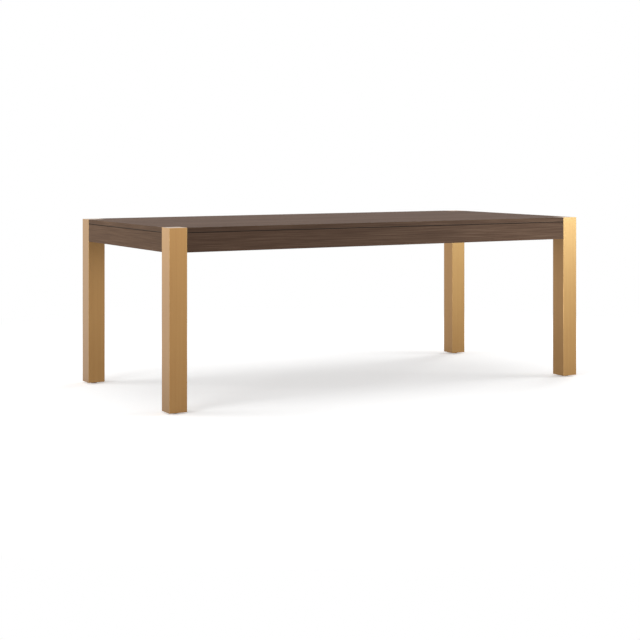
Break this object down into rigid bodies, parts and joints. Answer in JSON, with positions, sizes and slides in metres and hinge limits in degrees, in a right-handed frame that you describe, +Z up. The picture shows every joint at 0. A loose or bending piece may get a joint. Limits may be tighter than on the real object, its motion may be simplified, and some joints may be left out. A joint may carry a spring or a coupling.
{
  "type": "parsons dining table",
  "caption": "Rectangular Parsons dining table: dark veneered wood top and aprons with a shadow groove between square satin-brass corner legs that finish flush with the top, on screw levellers.",
  "frame": {"origin": "on the floor, under the centre of the table's footprint, with the levellers screwed fully in", "axes": "+X along the table's length, +Y across it from the front long side to the back one, +Z up"},
  "size_m": [2.134, 1.016, 0.7685],
  "materials": {
    "walnut": "matte lacquered dark walnut veneer and solid",
    "backing_veneer": "plain sealed backing veneer",
    "panel_core": "fibreboard, hidden",
    "rail_hardwood": "planed hardwood, sealed",
    "satin_brass": "satin brushed and lacquered",
    "zinc_steel": "zinc plated",
    "black_steel": "black powder coat, fine texture",
    "shoe_plastic": "moulded nylon"
  },
  "bodies": {
    "table": {"apron_back": "walnut", "apron_front": "walnut", "apron_left": "walnut", "apron_right": "walnut", "bracket_screws_back_left": "zinc_steel", "bracket_screws_back_right": "zinc_steel", "bracket_screws_front_left": "zinc_steel", "bracket_screws_front_right": "zinc_steel", "corner_bracket_back_left": "black_steel", "corner_bracket_back_right": "black_steel", "corner_bracket_front_left": "black_steel", "corner_bracket_front_right": "black_steel", "cross_rail_left": "rail_hardwood", "cross_rail_middle": "rail_hardwood", "cross_rail_right": "rail_hardwood", "foot_nut_back_left": "zinc_steel", "foot_nut_back_right": "zinc_steel", "foot_nut_front_left": "zinc_steel", "foot_nut_front_right": "zinc_steel", "foot_plate_back_left": "satin_brass", "foot_plate_back_right": "satin_brass", "foot_plate_front_left": "satin_brass", "foot_plate_front_right": "satin_brass", "leg_back_left": "satin_brass", "leg_back_right": "satin_brass", "leg_bolts_back_left": "zinc_steel", "leg_bolts_back_right": "zinc_steel", "leg_bolts_front_left": "zinc_steel", "leg_bolts_front_right": "zinc_steel", "leg_cap_back_left": "satin_brass", "leg_cap_back_right": "satin_brass", "leg_cap_front_left": "satin_brass", "leg_cap_front_right": "satin_brass", "leg_front_left": "satin_brass", "leg_front_right": "satin_brass", "leg_nuts_back_left": "zinc_steel", "leg_nuts_back_right": "zinc_steel", "leg_nuts_front_left": "zinc_steel", "leg_nuts_front_right": "zinc_steel", "rail_cleat_screws": "zinc_steel", "rail_cleats": "zinc_steel", "rail_top_screws": "zinc_steel", "top_backing_veneer": "backing_veneer", "top_clip_screws": "zinc_steel", "top_clips": "zinc_steel", "top_core": "panel_core", "top_face_veneer": "walnut", "top_lipping_back": "walnut", "top_lipping_front": "walnut", "top_lipping_left": "walnut", "top_lipping_right": "walnut"},
    "shoe_front_left": {"leveller_shoe_front_left": "shoe_plastic"},
    "stud_front_left": {"leveller_stud_front_left": "zinc_steel"},
    "shoe_front_right": {"leveller_shoe_front_right": "shoe_plastic"},
    "stud_front_right": {"leveller_stud_front_right": "zinc_steel"},
    "shoe_back_left": {"leveller_shoe_back_left": "shoe_plastic"},
    "stud_back_left": {"leveller_stud_back_left": "zinc_steel"},
    "shoe_back_right": {"leveller_shoe_back_right": "shoe_plastic"},
    "stud_back_right": {"leveller_stud_back_right": "zinc_steel"}
  },
  "joints": [
    {"name": "leveller_lift_front_left", "type": "slide", "parent": "table", "child": "shoe_front_left", "axis": [0, 0, -1], "range_m": [0, 0.015]},
    {"name": "leveller_turn_front_left", "type": "hinge", "parent": "shoe_front_left", "child": "stud_front_left", "pos_m": [-1.027, -0.468, 0.02], "axis": [0, 0, -1], "range_deg": [0, 3600]},
    {"name": "leveller_lift_front_right", "type": "slide", "parent": "table", "child": "shoe_front_right", "axis": [0, 0, -1], "range_m": [0, 0.015]},
    {"name": "leveller_turn_front_right", "type": "hinge", "parent": "shoe_front_right", "child": "stud_front_right", "pos_m": [1.027, -0.468, 0.02], "axis": [0, 0, -1], "range_deg": [0, 3600]},
    {"name": "leveller_lift_back_left", "type": "slide", "parent": "table", "child": "shoe_back_left", "axis": [0, 0, -1], "range_m": [0, 0.015]},
    {"name": "leveller_turn_back_left", "type": "hinge", "parent": "shoe_back_left", "child": "stud_back_left", "pos_m": [-1.027, 0.468, 0.02], "axis": [0, 0, -1], "range_deg": [0, 3600]},
    {"name": "leveller_lift_back_right", "type": "slide", "parent": "table", "child": "shoe_back_right", "axis": [0, 0, -1], "range_m": [0, 0.015]},
    {"name": "leveller_turn_back_right", "type": "hinge", "parent": "shoe_back_right", "child": "stud_back_right", "pos_m": [1.027, 0.468, 0.02], "axis": [0, 0, -1], "range_deg": [0, 3600]}
  ],
  "couplings": [
    {"joint": "leveller_turn_front_left", "follows": "leveller_lift_front_left", "rad_per_m": 4188.8},
    {"joint": "leveller_turn_front_right", "follows": "leveller_lift_front_right", "rad_per_m": 4188.8},
    {"joint": "leveller_turn_back_left", "follows": "leveller_lift_back_left", "rad_per_m": 4188.8},
    {"joint": "leveller_turn_back_right", "follows": "leveller_lift_back_right", "rad_per_m": 4188.8}
  ]
}
